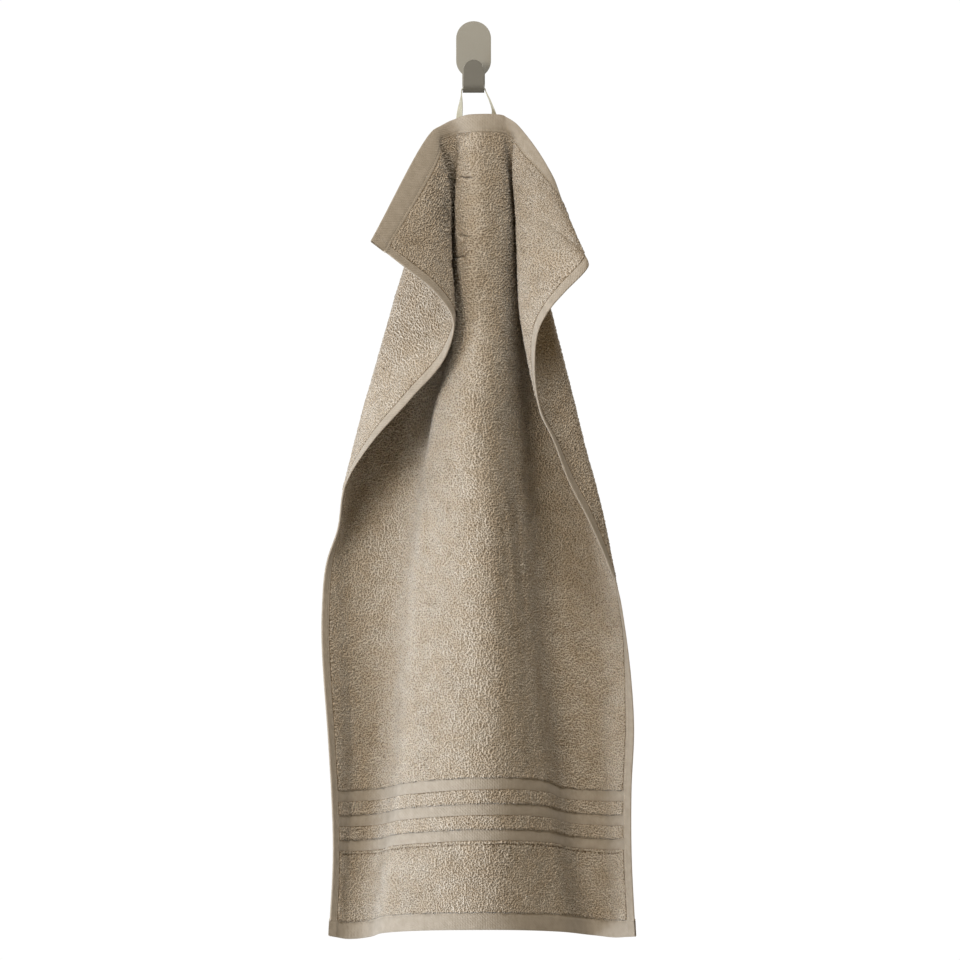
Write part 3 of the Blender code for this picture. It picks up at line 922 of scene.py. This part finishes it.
tape_side, selvedge_line = TAPE_WIDTH / 2, TAPE_WIDTH / 2 - SELVEDGE
tape_lines = even_lines((-tape_side, -selvedge_line, selvedge_line, tape_side), TAPE_CELL)
tape_marks = np.arange(0, TAPE_ROUTE[-1][0], TAPE_CELL)
tape_mesh, column, row, face = flat_slab(tape_lines, tape_marks)
wide, along = tape_lines[column], tape_marks[row]
from_edge = TAPE_WIDTH / 2 - np.abs(wide)
thick = TAPE_THICKNESS / 2 - SELVEDGE_RISE * (from_edge > SELVEDGE) - SELVEDGE_RISE * (from_edge < TAPE_RIM)
rib = WEFT_RIB * np.where(row % 2, 1, -1)
flat = np.stack([wide, -along, face * (thick + rib)], axis=1)
store_flat(tape_mesh, flat)
places = smooth_path(TAPE_ROUTE, along)
middles, turns = places[:, :3], np.radians(places[:, 3])
ways = smooth_path(TAPE_ROUTE, along + TAPE_CELL / 2) - smooth_path(TAPE_ROUTE, along - TAPE_CELL / 2)
ways = ways[:, :3] / np.linalg.norm(ways[:, :3], axis=1)[:, None]
across_tape = np.stack([np.sin(turns) * ways[:, 2], -np.cos(turns), -np.sin(turns) * ways[:, 0]], axis=1)
across_tape -= ways * (across_tape * ways).sum(axis=1)[:, None]
across_tape /= np.linalg.norm(across_tape, axis=1)[:, None]
out_of_tape = np.cross(across_tape, -ways)
laid = middles + across_tape * flat[:, :1] + out_of_tape * flat[:, 2:]
move_vertices(tape_mesh, laid * MM)
tape = add_piece("loop_tape", tape_mesh)
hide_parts("hanging_loop")
print(f"tape: {tape_marks[-1]:.0f} mm long, {triangles(tape_mesh)} triangles")

# %% [markdown]
# ## Wall hook
# The hook is one blank cut from 3 mm steel bar: a round-ended plate, a neck, and a tongue with a round tip.
# It is bent forward and up, its edges are broken, and it is powder coated. The piece is made the same way:
# a flat blank is extruded to its thickness, its edges are bevelled, and then it is bent by a formula.

# %% Outline of the blank
PLATE_WIDTH = 43.0
PLATE_HEIGHT = 70.0
PLATE_THICKNESS = 3.0
NECK_WIDTH = 28.0
TONGUE_WIDTH = 24.6
HOOK_LOW = -54.0  # underside of the bend
HOOK_GAP = 18.0  # between plate and tongue
TONGUE_TOP = -15.0
TONGUE_LEAN = 14.0  # degrees that the tongue leans out from the wall
EDGE_ROUND = 0.6
SHARP = 50.0  # degrees: edges that turn more than this are rounded
OUTER_BEND = HOOK_GAP / 2 + PLATE_THICKNESS
MIDDLE_BEND = (HOOK_GAP + PLATE_THICKNESS) / 2
FULL_BEND = pi - radians(TONGUE_LEAN)
BEND_CELLS = 40
ARC_CELLS = 24  # round a quarter of the plate, and of the tongue's tip


def bent(distance):
    """Where the middle of the bar lies at a distance down from the middle of the plate: y, z and its turn."""
    level = -PLATE_THICKNESS / 2
    straight = -HOOK_LOW - OUTER_BEND
    turned = min(max((distance - straight) / MIDDLE_BEND, 0), FULL_BEND)
    y, z = level - MIDDLE_BEND * (1 - cos(turned)), -min(distance, straight) - MIDDLE_BEND * sin(turned)
    past = max(distance - straight - FULL_BEND * MIDDLE_BEND, 0)
    return y - sin(turned) * past, z - cos(turned) * past, turned


def blank_outline():
    """The flat blank from top to tip, as (distance down, half width): plate, neck and round tongue."""
    plate, neck, tongue = PLATE_WIDTH / 2, NECK_WIDTH / 2, TONGUE_WIDTH / 2
    shoulder = PLATE_HEIGHT / 2 - plate
    straight = -HOOK_LOW - OUTER_BEND
    bend_end = straight + FULL_BEND * MIDDLE_BEND
    tip = bend_end + (TONGUE_TOP - bent(bend_end)[1]) / cos(radians(TONGUE_LEAN))
    quarter = np.linspace(0, pi / 2, ARC_CELLS + 1)
    to_neck = np.linspace(pi / 2, pi - asin(neck / plate), ARC_CELLS)
    outline = [(-PLATE_HEIGHT / 2, 0)]
    outline += [(-shoulder - plate * cos(a), plate * sin(a)) for a in quarter[1:]]
    outline += [(shoulder - plate * cos(a), plate * sin(a)) for a in to_neck]
    outline += [
        (straight + bend * MIDDLE_BEND, neck + (tongue - neck) * bend / FULL_BEND)
        for bend in np.linspace(0, FULL_BEND, BEND_CELLS + 1)
    ]
    outline += [(tip - tongue + tongue * sin(a), tongue * cos(a)) for a in quarter[:-1]]
    return [*outline, (tip, 0)]


# %% Hook
BAR_LINES = 25  # across the blank
BLANK_CELL = 0.9
EDGE_SEGMENTS = 4
WELD = 0.01  # joins the corners that meet at the blank's two tips

outline = np.array(blank_outline())
blank_down = np.unique(np.concatenate([outline[:, 0], np.arange(outline[0, 0], outline[-1, 0], BLANK_CELL)]))
half_width = np.interp(blank_down, outline[:, 0], outline[:, 1])
blank_across = np.linspace(-1, 1, BAR_LINES)
hook_mesh, column, row, face = flat_slab(blank_across, blank_down)
set_places(hook_mesh, blank_across[column] * half_width[row], -blank_down[row], face * PLATE_THICKNESS / 2)
shape = bmesh.new()
shape.from_mesh(hook_mesh)
bmesh.ops.remove_doubles(shape, verts=shape.verts, dist=WELD)
rim = [edge for edge in shape.edges if len(edge.link_faces) == 2 and edge.calc_face_angle() > radians(SHARP)]
bmesh.ops.bevel(shape, geom=rim, offset=EDGE_ROUND, segments=EDGE_SEGMENTS, profile=0.5, affect="EDGES",
                material=-1, clamp_overlap=True)
shape.to_mesh(hook_mesh)
shape.free()
flat = vertex_places(hook_mesh)
bends = np.array([bent(distance) for distance in -flat[:, 1]])
middle, turned = bends[:, :2], bends[:, 2]
hooked = np.stack([flat[:, 0], middle[:, 0] - np.cos(turned) * flat[:, 2],
                   middle[:, 1] + np.sin(turned) * flat[:, 2]], axis=1)
move_vertices(hook_mesh, hooked * MM)
hook = add_piece("wall_hook", hook_mesh)
hook_mesh.set_sharp_from_angle(angle=radians(SHARP))
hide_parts("hook")
print(f"hook: {triangles(hook_mesh)} triangles")

# %% [markdown]
# ## Terry cotton
# Cotton has no gloss of its own: it is rough, with a thin pale sheen of fibre ends when seen aslant. The
# pile is lightest at the loops' tips and warmer and darker in the gaps, because light that gets in there
# bounces from yarn to yarn. That shade is painted into the colour, as is the shade in the small gaps and
# along the sharp creases. Colours are multiplied, so that each painted shade, and the browner patches of the
# cloth's own tone, is one ramp by itself.

# %% Colours
def colour(hex_code):
    """An sRGB hex colour, as linear values for a socket."""
    srgb = np.array([int(hex_code[i : i + 2], 16) for i in (1, 3, 5)]) / 255
    return (*np.where(srgb <= 0.04045, srgb / 12.92, ((srgb + 0.055) / 1.055) ** 2.4), 1.0)


def new_material(name, roughness, ior, sheen=0.0):
    """A material with its values set on the shader's own sockets. Colour and bump are linked to it later."""
    material = bpy.data.materials.new(name)
    material.use_nodes = True
    tree = material.node_tree
    shader = tree.nodes["Principled BSDF"]
    shader.inputs["Roughness"].default_value = roughness
    shader.inputs["IOR"].default_value = ior
    shader.inputs["Sheen Weight"].default_value = sheen
    return material, tree, shader


def ramp(tree, value, stops):
    """Colours from (position, hex colour) stops, read at a value."""
    node = add_node(tree, "ShaderNodeValToRGB", {"Fac": value})
    while len(node.color_ramp.elements) < len(stops):
        node.color_ramp.elements.new(1.0)
    for element, (position, hex_code) in zip(node.color_ramp.elements, stops):
        element.position = position
        element.color = colour(hex_code)
    return node.outputs["Color"]


# %% Terry cotton, looped and washed
# Rough and warm: pale loop tips over a ground that is painted browner and darker as shade, pitted with a
# small dark gap from loop to loop that is painted shade too, a touch browner in patches, and painted shade
# along the sharp creases that part the pile
COTTON_IOR = 1.5
GROUND_HEIGHT, TIP_HEIGHT = 1.1, 2.7  # millimetres above the middle of the cloth
GAP_PITCH = 2.5  # millimetres from one gap to the next
GAP_RELIEF = 3.0
MOTTLE_SCALE = 45.0
PARTED_DEPTH = 3.0  # of the crease that gets the darkest painted shade

terry, tree, shader = new_material("terry_cotton_looped", roughness=0.95, ior=COTTON_IOR, sheen=0.25)
height = add_node(tree, "ShaderNodeAttribute", attribute_name="height")
tip = add_node(tree, "ShaderNodeMapRange", {
    "Value": height.outputs["Fac"], "From Min": GROUND_HEIGHT, "From Max": TIP_HEIGHT})
uv = add_node(tree, "ShaderNodeUVMap", uv_map="flat_cloth").outputs["UV"]
mottle = add_node(tree, "ShaderNodeTexNoise", {"Vector": uv, "Scale": MOTTLE_SCALE, "Detail": 3.0},
                  noise_dimensions="2D")
# How far each place is from the nearest of the gaps, which are strewn over the cloth
from_gap = add_node(tree, "ShaderNodeTexVoronoi", {"Vector": uv, "Scale": 1 / MM / GAP_PITCH},
                    voronoi_dimensions="2D").outputs["Distance"]
sharp = add_node(tree, "ShaderNodeAttribute", attribute_name="crease_shade_depth")
crease_shade_share = add_node(tree, "ShaderNodeMapRange", {"Value": sharp.outputs["Fac"], "From Max": PARTED_DEPTH})
# Painted shade: darker and warmer low in the pile and at its borders, dark in the small gaps and along sharp
# creases
loop_depth_shade = ramp(tree, tip.outputs[0], [(0.0, "#7a6a54"), (0.15, "#b4a999"), (0.5, "#c7bdaf"), (1.0, "#d0c7ba")])
gap = ramp(tree, from_gap, [(0.06, "#7f715a"), (0.36, "#ffffff")])
patch = ramp(tree, mottle.outputs["Fac"], [(0.35, "#f6f1ea"), (0.65, "#ffffff")])
crease = ramp(tree, crease_shade_share.outputs[0], [(0.1, "#ffffff"), (0.8, "#6e604c")])
colour_and_shade = loop_depth_shade
for shade in (gap, patch, crease):
    colour_and_shade = add_node(tree, "ShaderNodeMix", {FACTOR: 1.0, MIX_A: colour_and_shade, MIX_B: shade}, data_type="RGBA",
                      blend_type="MULTIPLY").outputs[MIX_RESULT]
tree.links.new(colour_and_shade, shader.inputs["Base Color"])
pitted = add_node(tree, "ShaderNodeBump", {"Height": from_gap, "Strength": 1.0, "Distance": GAP_RELIEF * MM})
tree.links.new(pitted.outputs["Normal"], shader.inputs["Normal"])
for piece in pile_pieces:
    piece.data.materials.append(terry)


# %% [markdown]
# ## Woven cotton
# Hems, bands and tape have no loops, so they are flatter, greyer and more even than the pile. Their threads
# are too fine for geometry. Two sets of waves in the bump, one upright and one slanting, cross like threads
# of a twill, and they follow the cloth round its folds because they are read from its flat places.

# %% Woven cotton, for the ground, hems, bands, thread and tape
# Rough and flat, greyer than the pile: fine raised threads that cross, and a faint unevenness in the tone
UNEVEN_SCALE = 120.0
THREAD_BUMP = 0.6


def waves_per_pitch(pitch):
    """The Wave texture's scale for upright bands that many millimetres apart. Slanting ones lie closer."""
    return pi / 10 / (pitch * MM)


def woven_material(name, pitch, relief, base, pale):
    """A weave of upright threads that slanting ones cross. Its colour varies between base and pale."""
    material, tree, shader = new_material(name, roughness=0.9, ior=COTTON_IOR, sheen=0.15)
    uv = add_node(tree, "ShaderNodeUVMap", uv_map="flat_cloth").outputs["UV"]
    threads = [add_node(tree, "ShaderNodeTexWave", {"Vector": uv, "Scale": waves_per_pitch(pitch)},
                        wave_type="BANDS", bands_direction=way) for way in ("X", "DIAGONAL")]
    crossing = add_node(tree, "ShaderNodeMath", {0: threads[0].outputs["Fac"], 1: threads[1].outputs["Fac"]},
                        operation="ADD")
    uneven = add_node(tree, "ShaderNodeTexNoise", {"Vector": uv, "Scale": UNEVEN_SCALE, "Detail": 4.0},
                      noise_dimensions="2D")
    shade = ramp(tree, uneven.outputs["Fac"], [(0.3, base), (0.7, pale)])
    tree.links.new(shade, shader.inputs["Base Color"])
    bump = add_node(tree, "ShaderNodeBump",
                    {"Height": crossing.outputs[0], "Strength": THREAD_BUMP, "Distance": relief * MM})
    tree.links.new(bump.outputs["Normal"], shader.inputs["Normal"])
    return material


# Each one's pitch and relief in millimetres, and its two tones
ground_mesh.materials.append(woven_material("woven_cotton", 2.1, 0.4, "#9a9286", "#a59d92"))
stitch_mesh.materials.append(woven_material("cotton_thread", 0.8, 0.1, "#bfb2a0", "#ccc1b1"))
tape_mesh.materials.append(woven_material("cotton_tape_woven", 1.6, 0.15, "#a3a293", "#b3b2a4"))

# %% [markdown]
# ## Powder coat
# Powder baked onto the hook's steel gives it a satin skin. What shows is the coat and no metal, so the
# material isn't metallic. Bend and tongue are darker than the plate, which is painted shade for the bend's
# underside and the tongue that leans out, so the tone is read from how far a place stands off the wall.
# Three materials would leave hard borders.

# %% Powder-coated steel
# Satin and grey-beige: a soft highlight, a very fine orange-peel surface, and painted shade on bend and
# tongue
COATING_IOR = 1.5
PEEL = 0.9  # millimetres from one bump of the coating to the next
PEEL_RELIEF = 0.05

coated, tree, shader = new_material("powder_coated_steel", roughness=0.45, ior=COATING_IOR)
place = add_node(tree, "ShaderNodeTexCoord").outputs["Object"]
peel = add_node(tree, "ShaderNodeTexNoise", {"Vector": place, "Scale": 1 / MM / PEEL, "Detail": 1.0})
off_wall_by = add_node(tree, "ShaderNodeSeparateXYZ", {"Vector": place}).outputs["Y"]
off_plate = add_node(tree, "ShaderNodeMapRange", {
    "Value": off_wall_by, "From Min": -PLATE_THICKNESS * MM, "From Max": -2 * OUTER_BEND * MM})
# The plate's grey-beige is the coat's own colour; the darker stops are painted shade on the bend and the
# tongue
coat_and_painted_shade = ramp(tree, off_plate.outputs[0],
            [(0.0, "#8e8d86"), (0.45, "#3f3c34"), (0.9, "#5b5951"), (1.0, "#6b6a64")])
tree.links.new(coat_and_painted_shade, shader.inputs["Base Color"])
bump = add_node(tree, "ShaderNodeBump",
                {"Height": peel.outputs["Fac"], "Strength": 0.25, "Distance": PEEL_RELIEF * MM})
tree.links.new(bump.outputs["Normal"], shader.inputs["Normal"])
hook_mesh.materials.append(coated)
print("materials:", [material.name for material in bpy.data.materials])
